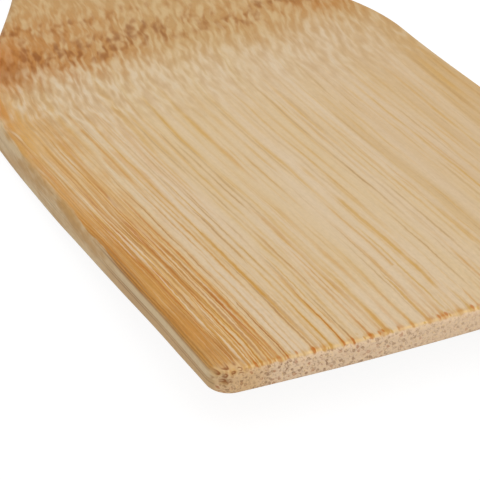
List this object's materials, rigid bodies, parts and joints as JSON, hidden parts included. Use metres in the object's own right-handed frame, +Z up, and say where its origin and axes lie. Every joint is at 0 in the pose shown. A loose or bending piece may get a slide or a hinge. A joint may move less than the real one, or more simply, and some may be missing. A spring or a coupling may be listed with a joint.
{
  "type": "spatula",
  "caption": "One-piece bamboo spatula: a wide thin blade that curves up to a slightly bowed tip, sloping shoulders and a slim flat handle with a hanging hole.",
  "frame": {"origin": "middle of the spatula's footprint on the surface that it lies on", "axes": "+X along the spatula towards the tip of the blade, +Y across the blade, +Z up out of the face that the picture shows"},
  "size_m": [0.3, 0.064, 0.0094],
  "materials": {
    "bamboo": "fine sanded and dry, pale with orange-brown fibre streaks"
  },
  "bodies": {
    "root": {"spatula_body": "bamboo"}
  },
  "joints": []
}
